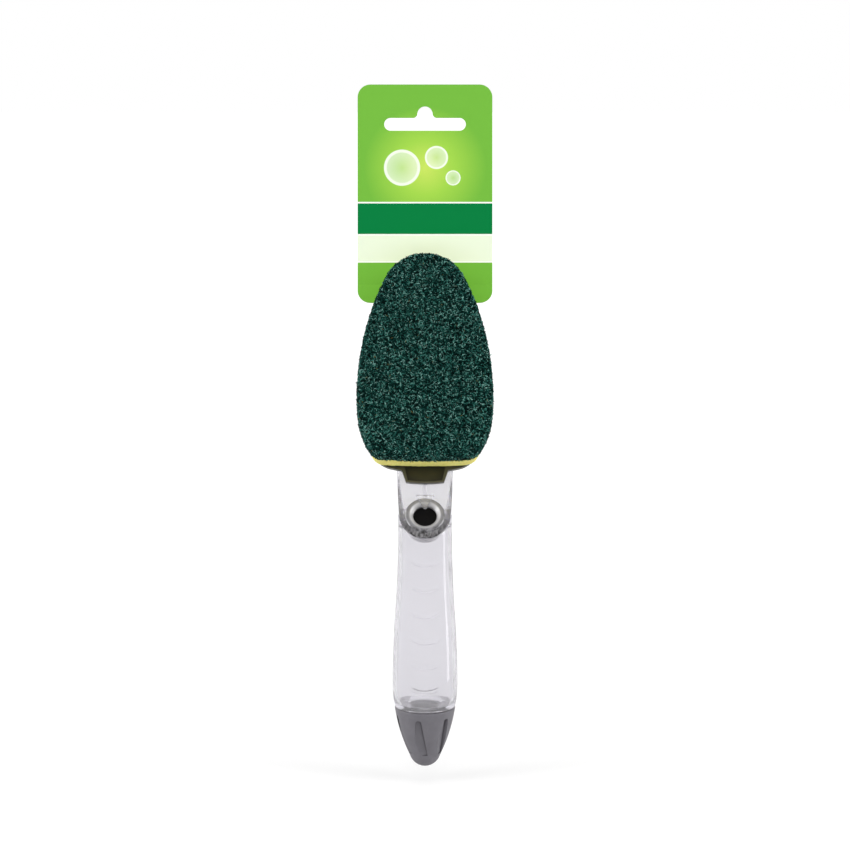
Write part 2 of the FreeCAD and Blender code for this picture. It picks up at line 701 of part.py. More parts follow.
def build_cap_grip():
    radius = S.foot_radius
    length = S.cap_length

    def side(shares):
        return (radius * shares[0], rim_z - length + length * shares[1])

    bend = side(CAP_SIDE_SHARES[:2])
    low = side(CAP_SIDE_SHARES[2:])
    # the tip is part of a ball whose middle is on the axis
    tip_z = rim_z - length
    rise = low[1] - tip_z
    chord = root(low[0] * low[0] + rise * rise)
    crown = (chord / 2, tip_z + chord * (chord - low[0]) / rise / 2)
    floor_z = core_z - S.core_fit
    edge = S.cap_rim_round
    body = revolved_body("cap_grip", [
        (0, floor_z), (S.cap_bore, floor_z), (S.cap_bore, rim_z), (radius - edge, rim_z),
        (radius, rim_z - edge), (bend[0], bend[1], low[0], low[1]), (crown[0], crown[1], 0, tip_z)])
    build_flutes(body)
    return body


def build_flutes(body):
    """Finger flutes: each floor is a plane that leans with the cap's side and dips to one edge."""
    sketch = body.newObject("Sketcher::SketchObject", "flute_outline")
    plane = [item for item in body.Origin.OriginFeatures if item.Role == "XZ_Plane"][0]
    sketch.AttachmentSupport = [(plane, "")]
    sketch.MapMode = "FlatFace"
    lean = FreeCAD.Rotation(FreeCAD.Vector(1, 0, 0), S.flute_slope.value)
    dip = FreeCAD.Rotation(FreeCAD.Vector(0, 1, 0), S.flute_twist.value)
    turn = FreeCAD.Rotation(FreeCAD.Vector(0, 1, 0), S.flute_turn.value)
    spot = turn.multVec(FreeCAD.Vector(0, 0, (S.foot_radius - S.flute_inset).value))
    spot.y = rim_z.value - S.flute_top.value
    sketch.AttachmentOffset = FreeCAD.Placement(spot, turn * lean * dip)
    half = S.flute_half_width
    crown = S.flute_crown
    draw_outline(sketch, [
        (half, -S.flute_length), (crown, -crown), (0, 0, -crown, -crown), (-half, -S.flute_length)])
    cut = pocket(body, "flute_cut", sketch, S.foot_radius, back=True)
    pattern = body.newObject("PartDesign::PolarPattern", "flute_pattern")
    pattern.Originals = [cut]
    axis = [item for item in body.Origin.OriginFeatures if item.Role == "Z_Axis"][0]
    pattern.Axis = (axis, [""])
    pattern.Angle = FULL_TURN
    bind(pattern, "Occurrences", S.flute_count)
    body.Tip = pattern


def build_cap_core():
    top_z = rim_z - S.core_top_gap
    outer = S.cap_bore - S.core_fit
    bore = S.mouth_radius + S.thread_clearance
    body = revolved_body("cap_core", [
        (0, core_z), (outer, core_z), (outer, top_z), (bore, top_z), (bore, gasket_z), (0, gasket_z)])
    # the groove follows the mouth's ridge, and begins a lead angle before it
    gap = S.thread_clearance
    start = mouth_z + S.thread_start - S.thread_pitch * S.thread_lead / FULL_TURN
    build_thread(body, "core_thread", "SubtractiveHelix",
                 thread_steps(bore, start, S.thread_depth, S.thread_root + gap * 2,
                              S.thread_crest + gap * 2, S.thread_bite), S.mouth_length)
    body.Placement.Rotation = FreeCAD.Rotation(FreeCAD.Vector(0, 0, 1), -S.thread_lead.value)
    bind(body, "Placement.Rotation.Angle", -S.thread_lead)
    return body


def build_cap_gasket():
    radius = S.mouth_radius + S.thread_clearance - S.gasket_clearance
    return revolved_body("cap_gasket", [
        (0, gasket_z), (radius, gasket_z), (radius, mouth_z), (0, mouth_z)])


# Scrubbing head

def build_head_base():
    body = new_body("head_base")
    plate = new_sketch(body, "plate_outline", "XY_Plane")
    draw_egg(plate, BASE_SHARES, S.base_half_width, S.base_bottom, S.base_length)
    pad(body, "plate_pad", plate, S.base_thickness)

    tab = new_sketch(body, "tab_outline", "XY_Plane")
    root = S.base_bottom + S.tab_overlap
    draw_outline(tab, [
        (S.tab_half_width, root), (-S.tab_half_width, root), (-S.tab_tip_half_width, S.tab_tip),
        (0, S.tab_tip - S.tab_bow, S.tab_tip_half_width, S.tab_tip)])
    pad(body, "tab_pad", tab, S.base_thickness)
    rim = S.tab_rim
    # the hollow runs up a little way under the sponge
    top = S.pad_bottom + S.sponge_rise + S.hollow_cover
    hollow = new_sketch(body, "tab_hollow", "XY_Plane", (0, S.base_thickness), 0)
    draw_outline(hollow, [
        (S.tab_half_width - rim * 2, top), (-S.tab_half_width + rim * 2, top),
        (-S.tab_tip_half_width + rim, S.tab_tip + rim),
        (0, S.tab_tip - S.tab_bow + rim, S.tab_tip_half_width - rim, S.tab_tip + rim)])
    pocket(body, "tab_pocket", hollow, S.tab_sink)

    recess = new_sketch(body, "back_recess", "XY_Plane")
    half = S.recess_half_width
    middle = (S.recess_bottom + S.recess_top) / 2
    shoulder = half * RECESS_SHOULDER_SHARE
    draw_outline(recess, [
        (half, S.recess_bottom), (half + S.recess_bulge, middle, shoulder, S.recess_top),
        (-shoulder, S.recess_top), (-half - S.recess_bulge, middle, -half, S.recess_bottom)])
    pocket(body, "recess_pocket", recess, S.base_recess, back=True)
    build_socket(body)
    hole = new_sketch(body, "soap_hole", "XY_Plane")
    draw_circle(hole, (0, S.outlet_height), S.soap_hole_radius)
    pocket_through(body, "soap_hole_cut", hole)
    place(body, "Placement", head_point(0, S.head_gap), head_turn)
    return body


def build_socket(body):
    """Two rails with inward lips, and a stop across their top, that hold the tongue."""
    inner = S.tongue_half_width + S.slide_clearance
    outer = inner + S.rail_wall
    top = S.tongue_length + S.slide_clearance
    depth = S.tongue_thickness + S.head_gap + S.slide_clearance
    walls = new_sketch(body, "rail_walls", "XY_Plane", (0, S.base_recess), 0)
    draw_outline(walls, [
        (inner, S.rail_bottom), (outer, S.rail_bottom), (outer, top + S.stop_thickness),
        (-outer, top + S.stop_thickness), (-outer, S.rail_bottom), (-inner, S.rail_bottom),
        (-inner, top), (inner, top)])
    pad(body, "rail_pad", walls, S.base_recess + depth + S.rail_lip_thickness, back=True)
    for name, side in (("right", 1), ("left", -1)):
        lip = new_sketch(body, "rail_lip_" + name, "XY_Plane", (0, -depth), 0)
        near = (inner - S.rail_lip) * side
        far = (inner + S.rail_wall / 2) * side
        draw_outline(lip, [(near, S.rail_bottom), (far, S.rail_bottom), (far, top), (near, top)])
        pad(body, "rail_lip_pad_" + name, lip, S.rail_lip_thickness, back=True)


def build_slab(name, thickness, proud, rise=0, inset=0):
    """A soft layer of the head with the pad's outline, its lower end raised and its sides set in."""
    body = new_body(name)
    sketch = new_sketch(body, name + "_outline", "XY_Plane")
    draw_egg(sketch, EGG_SHARES, S.pad_half_width - inset, S.pad_bottom + rise, S.pad_length - rise)
    pad(body, name + "_pad", sketch, thickness)
    place(body, "Placement", head_point(0, proud), head_turn)
    return body


def build_scour_pad():
    body = build_slab("scour_pad", S.pad_thickness, S.head_gap + S.base_thickness + S.sponge_thickness)
    doc.recompute()
    base = body.Tip
    front = S.pad_thickness.value
    flat = [index for index, face in enumerate(base.Shape.Faces, start=1)
            if abs(face.normalAt(0, 0).z - 1) < TOLERANCE
            and abs(face.CenterOfMass.z - front) < TOLERANCE]
    fillet = body.newObject("PartDesign::Fillet", "pad_edge")
    fillet.Base = (base, ["Face%d" % flat[0]])
    bind(fillet, "Radius", S.pad_round)
    return body


# Hang card

def build_hang_card():
    body = new_body("hang_card")
    fold = S.head_lean - S.card_lean
    front = S.head_gap - S.dot_thickness
    back = front - S.card_thickness
    # the mitre at the crease keeps both panels one thickness
    mitre = S.card_thickness * sine(fold / 2) / cosine(fold / 2)
    low = S.card_crease - S.card_flap
    rise = (S.card_panel * cosine(fold), S.card_panel * sine(fold))
    drop = (S.card_thickness * sine(fold), S.card_thickness * cosine(fold))
    side = new_sketch(body, "card_side", "YZ_Plane")
    draw_outline(side, [
        (low, front), (S.card_crease, front), (S.card_crease + rise[0], front + rise[1]),
        (S.card_crease + rise[0] + drop[0], front + rise[1] - drop[1]),
        (S.card_crease + mitre, back), (low, back)])
    sheet_pad = pad(body, "card_pad", side, S.card_width)
    sheet_pad.Midplane = True
    slot = new_sketch(body, "hang_slot", "XY_Plane", (S.card_crease, front), fold)
    middle = S.card_panel - S.slot_drop
    half = S.slot_height / 2
    end = S.slot_width / 2
    high = middle + half
    # the slot's edge flares into the hump's dome along an arc that touches both
    flare = S.hump_flare
    dome = S.hump_height - S.hump_radius
    reach = flare + S.hump_radius
    flare_x = root(reach * reach - (flare - dome) * (flare - dome))
    join = (flare_x * S.hump_radius / reach, high + dome + (flare - dome) * S.hump_radius / reach)
    bend = cosine(as_size(RIGHT_ANGLE) / 2)
    via = (flare_x - flare * bend, high + flare - flare * bend)
    draw_outline(slot, [
        (end - half, middle - half), (end, middle, end - half, high), (flare_x, high),
        (via[0], via[1], join[0], join[1]), (0, high + S.hump_height, -join[0], join[1]),
        (-via[0], via[1], -flare_x, high),
        (-end + half, high), (-end, middle, -end + half, middle - half)])
    pocket_through(body, "slot_cut", slot)
    doc.recompute()
    corners = []
    for index, edge in enumerate(body.Tip.Shape.Edges, start=1):
        across = abs(abs(edge.CenterOfMass.x) - S.card_width.value / 2) < TOLERANCE
        if across and abs(edge.Length - S.card_thickness.value) < TOLERANCE:
            corners.append("Edge%d" % index)
    base = body.Tip
    fillet = body.newObject("PartDesign::Fillet", "card_corners")
    fillet.Base = (base, corners)
    bind(fillet, "Radius", S.card_corner)
    place(body, "Placement", head_point(0, 0), head_turn)
    return body


def build_glue_dots():
    dots = []
    for name, side in (("right", 1), ("left", -1)):
        dot = cylinder("glue_dot_" + name, S.dot_radius, S.dot_thickness,
                       head_point(S.card_crease - S.dot_drop, S.head_gap - S.dot_thickness),
                       head_turn)
        bind(dot, "Placement.Base.x", S.dot_spacing / 2 * side)
        dots.append(dot)
    return fuse("glue_dots", dots)


def build_all():
    return [
        build_handle_shell(), build_bezel(), build_button(), build_button_seal(), build_stem(),
        build_poppet(), build_spring(), build_cap_grip(), build_cap_core(), build_cap_gasket(),
        build_head_base(),
        build_slab("sponge", S.sponge_thickness, S.head_gap + S.base_thickness, S.sponge_rise,
                   S.sponge_inset),
        build_scour_pad(),
        build_hang_card(), build_glue_dots()]


def check_and_write(parts):
    doc.recompute()
    for item in doc.Objects:
        if "Invalid" in item.State or "Error" in item.State:
            raise RuntimeError("%s did not build: %s" % (item.Label, item.State))
    for part in parts:
        if part.Shape.isNull() or not part.Shape.isValid():
            raise RuntimeError("%s has no valid shape" % part.Label)
    os.makedirs("parts", exist_ok=True)
    for part in parts:
        part.Shape.exportStep("parts/%s.step" % part.Label)
        box = part.Shape.BoundBox
        print("%-14s %d solids %9.1f mm3  y %.1f to %.1f  z %.1f to %.1f" % (
            part.Label, len(part.Shape.Solids), part.Shape.Volume, box.YMin, box.YMax, box.ZMin, box.ZMax))


check_and_write(build_all())
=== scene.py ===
import json
import math

import bpy
import numpy as np
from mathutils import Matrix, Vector, geometry, noise


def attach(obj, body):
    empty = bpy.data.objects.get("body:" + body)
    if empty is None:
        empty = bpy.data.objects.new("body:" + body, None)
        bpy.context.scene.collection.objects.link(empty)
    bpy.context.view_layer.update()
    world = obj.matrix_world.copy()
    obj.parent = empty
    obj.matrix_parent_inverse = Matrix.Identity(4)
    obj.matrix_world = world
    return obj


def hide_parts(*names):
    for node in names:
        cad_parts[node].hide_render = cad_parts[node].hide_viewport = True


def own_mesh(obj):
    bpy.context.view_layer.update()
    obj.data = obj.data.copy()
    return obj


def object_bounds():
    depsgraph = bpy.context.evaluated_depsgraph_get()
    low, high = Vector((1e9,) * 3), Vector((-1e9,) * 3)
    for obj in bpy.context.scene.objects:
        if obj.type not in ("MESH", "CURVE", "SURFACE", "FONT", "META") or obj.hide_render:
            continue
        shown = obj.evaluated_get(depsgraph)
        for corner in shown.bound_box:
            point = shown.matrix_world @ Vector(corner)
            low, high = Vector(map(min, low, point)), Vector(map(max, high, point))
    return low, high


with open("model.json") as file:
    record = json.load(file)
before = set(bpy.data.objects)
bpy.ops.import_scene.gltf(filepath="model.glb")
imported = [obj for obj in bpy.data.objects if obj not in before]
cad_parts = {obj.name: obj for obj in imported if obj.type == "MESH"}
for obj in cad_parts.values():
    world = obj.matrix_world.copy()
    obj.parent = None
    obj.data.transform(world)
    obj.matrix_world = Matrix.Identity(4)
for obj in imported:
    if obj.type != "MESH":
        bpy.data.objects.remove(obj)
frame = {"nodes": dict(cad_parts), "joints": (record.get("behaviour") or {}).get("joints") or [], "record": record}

# A dish wand in studio light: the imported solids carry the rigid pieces, and the sponge, the
# scouring pad and the valve's spring are modelled here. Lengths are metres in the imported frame.

CAD_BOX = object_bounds()
MM = 0.001

MOUNTS = {mount["name"]: mount for mount in frame["record"]["mounts"]}
JOINTS = {joint["name"]: joint for joint in frame["joints"]}
SIDE = Vector((1, 0, 0))
HEAD_UP = Vector(JOINTS["head_slide"]["axis"]).normalized()
HEAD_OUT = Vector(MOUNTS["scrub_face"]["axis"]).normalized()
HEAD_WAYS = np.array([SIDE, HEAD_UP, HEAD_OUT])
PAD_FACE = Vector(MOUNTS["scrub_face"]["pos_m"])
VALVE_IN = Vector(JOINTS["button_press"]["axis"]).normalized()
CARD_OUT = Vector(MOUNTS["hang_slot"]["axis"]).normalized()
HANG_SLOT = Vector(MOUNTS["hang_slot"]["pos_m"])

# Camera
CAMERA_TARGET = Vector((0, 0, 76.55 * MM))
CAMERA_DISTANCE = 900 * MM
CAMERA_ELEVATION = math.radians(10)
CAMERA_LENS = 100.16

# Floor and surroundings: the glow is given under the wand and far from it, and the seen share is
# what gloss and clear plastic show of it
FLOOR_DROP = 6 * MM
FLOOR_REACH = 6.0
FLOOR_SHARE = 0.62
FLOOR_GLOW = (0.43, 0.80)
FLOOR_GLOW_REACH = 1.5
FLOOR_SEEN_SHARE = 0.60
WORLD_LIGHT = 0.55
WORLD_SHOWN = 1.0

# Lamps: places and sizes in metres, power in watts
LAMPS = (
    {"name": "left_light", "place": (-1.2, -0.4, 0.5), "size": (0.5, 0.9), "power": 8.0},
    {"name": "right_light", "place": (1.2, -0.4, 0.5), "size": (0.5, 0.9), "power": 8.0},
    {"name": "left_panel", "place": (-0.60, 0.05, 0.35), "size": (0.8, 0.4), "power": 3.6,
     "lights_matt": False},
    {"name": "right_strip", "place": (0.16, -0.0085, 0.06), "size": (0.03, 0.24), "power": 0.15,
     "lights_matt": False},
    {"name": "low_light", "place": (0.0, -1.15, 0.05), "size": (1.2, 0.2), "power": 2.8,
     "shows_in_gloss": False},
    {"name": "top_light", "place": (0.0, -0.3, 1.6), "size": (1.0, 1.0), "power": 5.0},
)

# Outlines of the soft pieces
OUTLINE_PASSES = 4

# Sponge
SPONGE_STEP = 0.55 * MM
SPONGE_CAP_STEP = 4 * SPONGE_STEP
SPONGE_BACK_ROUND = 1.0 * MM
SPONGE_FRONT_ROUND = 0.25 * MM
SPONGE_ROUND_STEPS = 3
SPONGE_LUMP_DEPTH = 0.12 * MM
PORE_SIZE = 1.3 * MM
PORE_DEPTH = 0.45 * MM
PORE_REACH_SHARE = 0.42
LUMP_SIZE = 5 * PORE_SIZE

# Scouring pad
PAD_STEP = 0.7 * MM
PAD_ROUND = 1.8 * MM
PAD_ROUND_STEPS = 4
PAD_SINK = 0.25 * MM
CLUMP_SIZE = 1.5 * MM
CLUMP_DEPTH = 0.28 * MM
CLUMP_FALLOFF = 0.6
CLUMP_STEP_UP = 2.0
CLUMP_LAYERS = 3

# Fibres on the pad: shares are of the length, lift and radius, and the limit is how far a face may
# turn away from the front and still carry fibres
FIBRE_COUNT = 48000
FIBRE_LENGTH = 1.05 * MM
FIBRE_RADIUS = 0.15 * MM
FIBRE_LIFT = 0.30 * MM
FIBRE_LENGTH_SHARES = (0.55, 1.35)
FIBRE_LIFT_SHARES = (-0.6, 1.0)
FIBRE_TILT_SHARE = 0.7
FIBRE_RADIUS_SHARES = (0.7, 1.25)
FIBRE_FACE_LIMIT = -0.3
FIBRE_STEEP_SHARE = 0.8
FIBRE_SEED = 11

# Depth of the head's front-most face that is painted lighter: a painted highlight on the release tab's raised rim
TAB_HIGHLIGHT_DEPTH = 0.3 * MM

# Ring round the button
RING_REACH = 9.0 * MM

# Return spring
SPRING_TURNS = 2.75
SPRING_WIRE = 0.45 * MM
SPRING_TURN_STEPS = 24
SPRING_SIDES = 8

# Texture sizes: lumps of colour, gloss and tooth
CLEAR_HAZE = 6 * MM
SMOKE_STREAK = 0.9 * MM
SMOKE_GLOSS = 1.2 * MM
BUTTON_MOTTLE = 0.9 * MM
BUTTON_GLOSS = 0.5 * MM
BUTTON_TOOTH = 0.16 * MM
SEAL_MOTTLE = 0.8 * MM
SEAL_TOOTH = 0.2 * MM
VALVE_MOTTLE = 1.5 * MM
VALVE_TOOTH = 0.25 * MM
VALVE_GLOW_DEPTH = 1 * MM
STEEL_MOTTLE = 0.6 * MM
STEEL_GLOSS = 0.3 * MM
CAP_MOTTLE = 5 * MM
CAP_SCUFF = 1.1 * MM
# Reach of the painted shade in the corners of the cap's flutes
CAP_SHADE_REACH = 2.0 * MM
CAP_GLOSS = 0.7 * MM
CAP_TOOTH = 0.22 * MM
CORE_MOTTLE = 3 * MM
CORE_TOOTH = 0.2 * MM
LINER_MOTTLE = 0.5 * MM
LINER_CELL = 0.35 * MM
OLIVE_FLOW = 7 * MM
# Reach of the painted shade under the sponge and in the head's corners
OLIVE_SHADE_REACH = 6 * MM
OLIVE_GLOSS = 1.0 * MM
OLIVE_TOOTH = 0.25 * MM
FOAM_MOTTLE = 4 * MM
FOAM_CELL = 0.8 * MM
FOAM_TOOTH = 0.25 * MM
FOAM_GLOW_DEPTH = 1.5 * MM
WEB_MOTTLE = 0.8 * MM
WEB_TOOTH = 0.35 * MM
FIBRE_TOOTH = 0.2 * MM
CARD_FLECK = 0.8 * MM
CARD_GLOSS = 2.0 * MM
CARD_TOOTH = 0.3 * MM
GLUE_GLOSS = 1.0 * MM
GLUE_LUMP = 0.8 * MM

# Bump depths
FINE_BUMP = 0.03 * MM
MOULD_BUMP = 0.04 * MM
SOFT_BUMP = 0.05 * MM
FOAM_BUMP = 0.08 * MM
CELL_BUMP = 0.25 * MM
WEB_BUMP = 0.3 * MM


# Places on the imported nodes

def node_points(name):
    return np.array([vertex.co for vertex in frame["nodes"][name].data.vertices])


def node_middle(name, axis):
    """The middle of a turned node, from its extents across its axis and along it."""
    ways = np.array([SIDE, SIDE.cross(axis).normalized(), axis])
    reach = node_points(name) @ ways.T
    return Vector((reach.min(axis=0) + reach.max(axis=0)) / 2 @ ways)


def head_coords(name):
    """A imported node's points as (across, up, out) of the head, from the middle of the pad's face."""
    return (node_points(name) - np.array(PAD_FACE)) @ HEAD_WAYS.T


def head_points(coords):
    return np.array(PAD_FACE) + np.asarray(coords) @ HEAD_WAYS


def head_front(name):
    """How far a node reaches out of the head's front, from the pad's face."""
    return float(head_coords(name)[:, 2].max())


# Colours

def srgb(red, green, blue):
    """A colour as an 8-bit screen value, in the linear values that shaders use."""
    def linear(value):
        share = value / 255
        return share / 12.92 if share <= 0.04045 else ((share + 0.055) / 1.055) ** 2.4
    return (linear(red), linear(green), linear(blue), 1)


def shade(level):
    return (level, level, level, 1)


# Materials

class Surface:
    """A Principled material, with short ways to add procedural detail to it."""

    def __init__(self, name, **sockets):
        self.material = bpy.data.materials.new(name)
        self.material.use_nodes = True
        self.nodes = self.material.node_tree.nodes
        self.links = self.material.node_tree.links
        self.shader = self.nodes["Principled BSDF"]
        self.bumped = None
        for socket, value in sockets.items():
            self.shader.inputs[socket.replace("_", " ")].default_value = value

    def node(self, kind, settings=None, **inputs):
        """A node whose inputs are given by name, or by place as i0, i1 and so on."""
        item = self.nodes.new("ShaderNode" + kind)
        for name, value in (settings or {}).items():
            setattr(item, name, value)
        for name, value in inputs.items():
            by_place = name[0] == "i" and name[1:].isdigit()
            self.feed(item.inputs[int(name[1:]) if by_place else name], value)
        return item

    def feed(self, socket, value):
        """Put a value in a socket, or link it to another node's output."""
        if isinstance(value, bpy.types.NodeSocket):
            self.links.new(value, socket)
        else:
            socket.default_value = value

    def place(self):
        return self.node("TexCoord").outputs["Object"]

    def normal(self):
        return self.node("TexCoord").outputs["Normal"]

    def grain(self, size, detail=3.0, stretch=None):
        """Noise whose lumps are about this size, in metres."""
        place = self.place()
        if stretch:
            place = self.node("Mapping", Vector=place, Scale=stretch).outputs["Vector"]
        item = self.node("TexNoise", Vector=place, Scale=1 / size, Detail=detail)
        return item.outputs["Fac"]

    def cells(self, size):
        """How far a point lies from the middle of its cell, as a share of a cell of this size."""
        return self.node("TexVoronoi", Vector=self.place(), Scale=1 / size).outputs["Distance"]

    def ramp(self, value, stops):
        """A colour for each level of a value, mixed evenly between the stops."""
        item = self.node("ValToRGB", Fac=value)
        points = item.color_ramp.elements
        while len(points) < len(stops):
            points.new(1)
        for point, (position, colour) in zip(points, stops):
            point.position = position
            point.color = colour
        return item.outputs["Color"]

    def level(self, value, stops):
        """A number for each level of a value, mixed evenly between the stops."""
        greys = self.ramp(value, [(position, shade(level)) for position, level in stops])
        return self.node("RGBToBW", Color=greys).outputs["Val"]

    def span(self, value, low, high, first=0.0, last=1.0):
        """A value that runs from first to last, moved so that it runs from low to high."""
        item = self.node("MapRange", Value=value)
        for name, limit in (("From Min", first), ("From Max", last), ("To Min", low), ("To Max", high)):
            item.inputs[name].default_value = limit
        return item.outputs["Result"]

    def math(self, operation, first, second=0.0):
        item = self.node("Math", {"operation": operation}, i0=first, i1=second)
        return item.outputs["Value"]

    def vector(self, operation, first, second):
        return self.node("VectorMath", {"operation": operation}, i0=first, i1=second)

    def mix(self, share, first, second):
        item = self.node("Mix", {"data_type": "RGBA"}, i0=share, i6=first, i7=second)
        return item.outputs[2]

    def along(self, direction, origin):
        """How far a surface point lies along a direction from an origin, in metres."""
        offset = self.vector("SUBTRACT", self.place(), tuple(origin))
        return self.vector("DOT_PRODUCT", offset.outputs[0], tuple(direction)).outputs["Value"]

    def around(self, axis, origin):
        """How far a surface point lies from an axis, in metres."""
        offset = self.vector("SUBTRACT", self.place(), tuple(origin))
        cross = self.vector("CROSS_PRODUCT", offset.outputs[0], tuple(axis))
        return self.node("VectorMath", {"operation": "LENGTH"}, i0=cross.outputs[0]).outputs["Value"]

    def crease_shade(self, reach, open_share, shut_share):
        """One in corners that other faces crowd within this reach, none on open faces: the mask for painted shade
        in corners.
        """
        item = self.node("AmbientOcclusion", {"samples": 8}, Distance=reach)
        return self.span(item.outputs["AO"], 1.0, 0.0, shut_share, open_share)

    def colour(self, value):
        self.feed(self.shader.inputs["Base Color"], value)

    def absorb(self, tint, density):
        """Let the body of the piece take light away, more where it is thick."""
        item = self.node("VolumeAbsorption", Color=tint, Density=density)
        self.links.new(item.outputs["Volume"], self.nodes["Material Output"].inputs["Volume"])

    def rough(self, low, high, value):
        self.feed(self.shader.inputs["Roughness"], self.span(value, low, high))

    def bump(self, height, strength, distance):
        """Another layer of bump on top of those already there."""
        item = self.node("Bump", Height=height, Strength=strength, Distance=distance)
        if self.bumped:
            self.links.new(self.bumped, item.inputs["Normal"])
        self.bumped = item.outputs["Normal"]
        self.links.new(self.bumped, self.shader.inputs["Normal"])


def clear_plastic():
    """Clear moulded plastic, a little milky, with a faint lavender cast where it is thick."""
    look = Surface("clear_plastic", Base_Color=srgb(249, 248, 251), Roughness=0.03, IOR=1.30,
                   Transmission_Weight=0.85)
    look.absorb(srgb(180, 178, 202), 22.0)
    look.rough(0.02, 0.07, look.grain(CLEAR_HAZE))
    return look.material


def smoky_plastic():
    """Smoky plastic: a pale lip round the button with a painted highlight band on it, and darker, streaky plastic
    further out, the streaks darker towards the bottom.
    """
    look = Surface("smoky_plastic", Roughness=0.2, IOR=1.5, Transmission_Weight=0.12)
    middle = node_middle("soap_button", VALVE_IN)
    reach = look.math("DIVIDE", look.around(VALVE_IN, middle), RING_REACH)
    # The pale band from 0.58 to 0.64 of the reach is a painted highlight
    rings = look.ramp(reach, [
        (0.50, srgb(150, 149, 153)), (0.58, srgb(196, 195, 199)), (0.64, srgb(206, 205, 209)),
        (0.69, srgb(152, 151, 156)), (0.80, srgb(138, 137, 141)), (1.00, srgb(126, 124, 128))])
    streaks = look.level(look.grain(SMOKE_STREAK, 3.0, (1, 0.5, 0.5)), [(0.40, 1), (0.60, 0)])
    drop = look.math("DIVIDE", look.along((0, 0, -1), middle), RING_REACH)
    lower = look.level(drop, [(0.0, 0.25), (0.45, 1)])
    outer = look.level(reach, [(0.68, 0), (0.78, 1)])
    dark = look.math("MULTIPLY", look.math("MULTIPLY", streaks, lower), outer)
    look.colour(look.mix(dark, rings, srgb(28, 26, 27)))
    look.rough(0.14, 0.30, look.grain(SMOKE_GLOSS))
    return look.material


def black_rubber():
    look = Surface("black_rubber", Roughness=0.62, Specular_IOR_Level=0.08)
    look.colour(look.ramp(look.grain(BUTTON_MOTTLE), [(0.2, srgb(5, 5, 6)), (0.8, srgb(14, 13, 15))]))
    look.rough(0.52, 0.72, look.grain(BUTTON_GLOSS))
    look.bump(look.grain(BUTTON_TOOTH), 0.18, MOULD_BUMP)
    return look.material


def seal_rubber():
    look = Surface("seal_rubber", Roughness=0.5)
    look.colour(look.ramp(look.grain(SEAL_MOTTLE), [(0.2, srgb(198, 198, 195)), (0.8, srgb(214, 214, 211))]))
    look.bump(look.grain(SEAL_TOOTH), 0.12, FINE_BUMP)
    return look.material


def white_plastic():
    look = Surface("white_plastic", Roughness=0.42, Subsurface_Weight=0.15, Subsurface_Scale=VALVE_GLOW_DEPTH)
    look.colour(look.ramp(look.grain(VALVE_MOTTLE), [(0.2, srgb(205, 204, 206)), (0.8, srgb(222, 221, 222))]))
    look.bump(look.grain(VALVE_TOOTH), 0.08, FINE_BUMP)
    return look.material


def spring_steel():
    look = Surface("spring_steel", Metallic=1.0, Roughness=0.26)
    look.colour(look.ramp(look.grain(STEEL_MOTTLE), [(0.2, srgb(178, 178, 181)), (0.8, srgb(206, 206, 208))]))
    look.rough(0.18, 0.36, look.grain(STEEL_GLOSS))
    return look.material


def grey_cap_plastic():
    """Satin grey plastic with a fine moulded grain, a little lighter wear, and painted shade in the corners of the
    flutes.
    """
    look = Surface("grey_cap_plastic", Roughness=0.48, Specular_IOR_Level=0.45)
    body = look.ramp(look.grain(CAP_MOTTLE), [(0.3, srgb(104, 102, 108)), (0.7, srgb(112, 110, 116))])
    scuffs = look.level(look.grain(CAP_SCUFF, 6.0, (1, 1, 0.25)), [(0.60, 0), (0.74, 1)])
    wear_and_highlight = look.mix(look.math("MULTIPLY", scuffs, 0.20), body, srgb(134, 132, 138))
    # Painted shade: the corners of the flutes are darkened towards dark grey
    look.colour(look.mix(look.crease_shade(CAP_SHADE_REACH, 0.74, 0.42), wear_and_highlight, srgb(68, 66, 70)))
    look.rough(0.40, 0.58, look.grain(CAP_GLOSS))
    look.bump(look.grain(CAP_TOOTH), 0.16, MOULD_BUMP)
    return look.material


def grey_core_plastic():
    look = Surface("grey_core_plastic", Roughness=0.4)
    look.colour(look.ramp(look.grain(CORE_MOTTLE), [(0.3, srgb(138, 137, 141)), (0.7, srgb(148, 147, 151))]))
    look.bump(look.grain(CORE_TOOTH), 0.10, FINE_BUMP)
    return look.material


def foam_liner():
    look = Surface("foam_liner", Roughness=0.85)
    look.colour(look.ramp(look.grain(LINER_MOTTLE), [(0.3, srgb(214, 213, 209)), (0.7, srgb(232, 231, 227))]))
    look.bump(look.cells(LINER_CELL), 0.3, FOAM_BUMP)
    return look.material


def olive_plastic():
    """Dark olive plastic, satin, with flow marks in its tone and a fine spark grain, a painted highlight on its
    front-most rim, and painted shade under the sponge and in corners.
    """
    look = Surface("olive_plastic", Roughness=0.38, Specular_IOR_Level=0.35)
    flow = look.ramp(look.grain(OLIVE_FLOW, 2.0), [(0.3, srgb(38, 36, 14)), (0.72, srgb(51, 48, 23))])
    # Painted highlight: the front-most layer of the head, the tab's raised rim, is painted lighter
    rim = look.math("GREATER_THAN", look.along(HEAD_OUT, PAD_FACE), head_front("head_base") - TAB_HIGHLIGHT_DEPTH)
    wear_and_highlight = look.mix(rim, flow, srgb(76, 74, 57))
    # Painted shade: under the sponge and in corners the olive is darkened towards near black
    look.colour(look.mix(look.crease_shade(OLIVE_SHADE_REACH, 0.80, 0.36), wear_and_highlight, srgb(16, 15, 8)))
    look.rough(0.30, 0.48, look.grain(OLIVE_GLOSS))
    look.bump(look.grain(OLIVE_TOOTH), 0.10, MOULD_BUMP)
    return look.material


